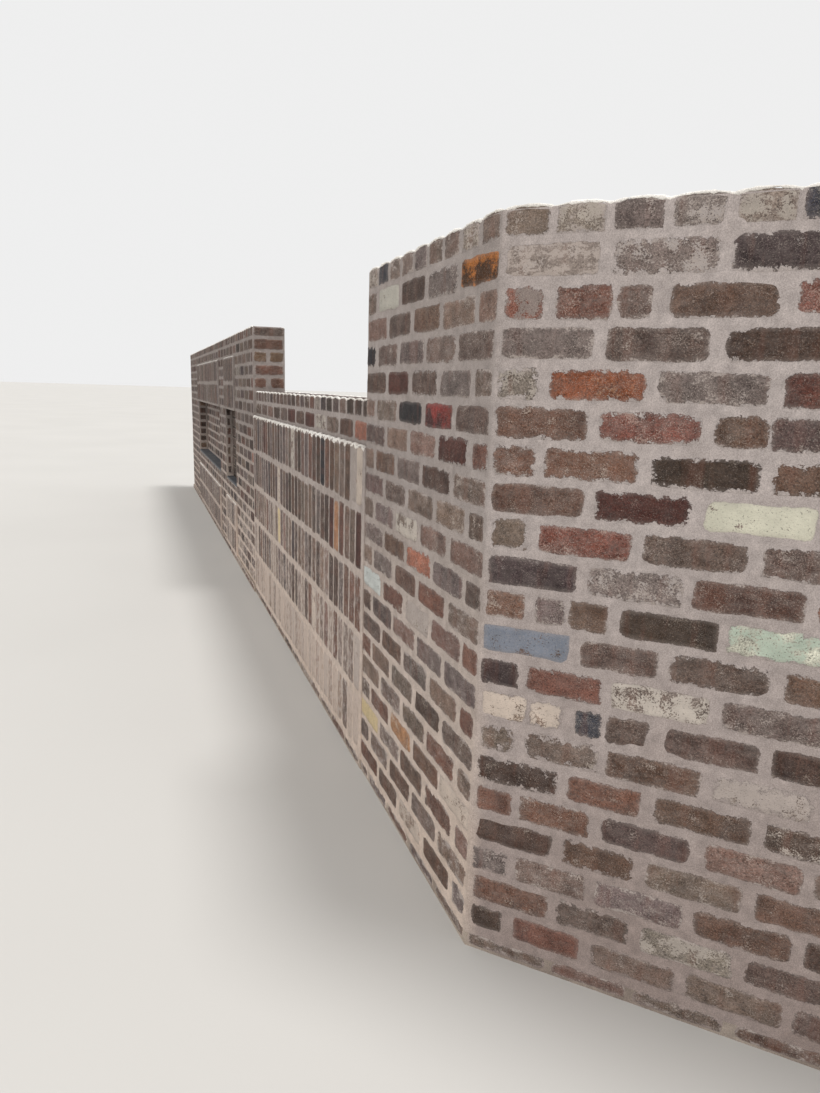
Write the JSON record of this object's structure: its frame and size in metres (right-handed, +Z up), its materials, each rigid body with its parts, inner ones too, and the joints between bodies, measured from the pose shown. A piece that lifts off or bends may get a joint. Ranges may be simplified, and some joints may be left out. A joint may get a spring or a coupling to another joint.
{
  "type": "brick garden wall",
  "caption": "Boundary wall of mixed recycled bricks with a splayed corner, a low length with an upright brick panel, and a tall length with two niches.",
  "frame": {"origin": "on the underside, where the middle lines of the two legs of the corner meet", "axes": "+X along the straight wall towards the corner, -Y out of its front face, +Z up"},
  "size_m": [11.758, 1.6307, 2.05],
  "materials": {
    "brickwork": "rough",
    "mortar": "rough",
    "slate": "matt"
  },
  "bodies": {
    "root": {"splay_footing": "mortar", "tall_footing": "mortar", "low_footing": "mortar", "far_footing": "mortar", "splay_wall": "brickwork", "splay_coping": "brickwork", "tall_wall": "brickwork", "tall_coping": "brickwork", "corner_joint": "mortar", "low_backing": "brickwork", "low_soldier_row_1": "brickwork", "low_soldier_row_2": "brickwork", "low_soldier_row_3": "brickwork", "low_soldier_row_4": "brickwork", "low_soldier_row_5": "brickwork", "low_plain_course": "brickwork", "low_coping": "brickwork", "far_near_column": "brickwork", "far_pier": "brickwork", "far_end_column": "brickwork", "far_top_course": "brickwork", "far_coping": "brickwork", "bay_a_backing": "brickwork", "bay_a_lower_row_1": "brickwork", "bay_a_lower_row_2": "brickwork", "bay_a_upper_row_1": "brickwork", "bay_a_upper_row_2": "brickwork", "bay_a_apron": "brickwork", "bay_b_backing": "brickwork", "bay_b_lower_row_1": "brickwork", "bay_b_lower_row_2": "brickwork", "bay_b_upper_row_1": "brickwork", "bay_b_upper_row_2": "brickwork", "bay_b_apron": "brickwork", "bay_a_lining": "brickwork", "bay_a_sill": "slate", "bay_b_sill": "slate"}
  },
  "joints": []
}
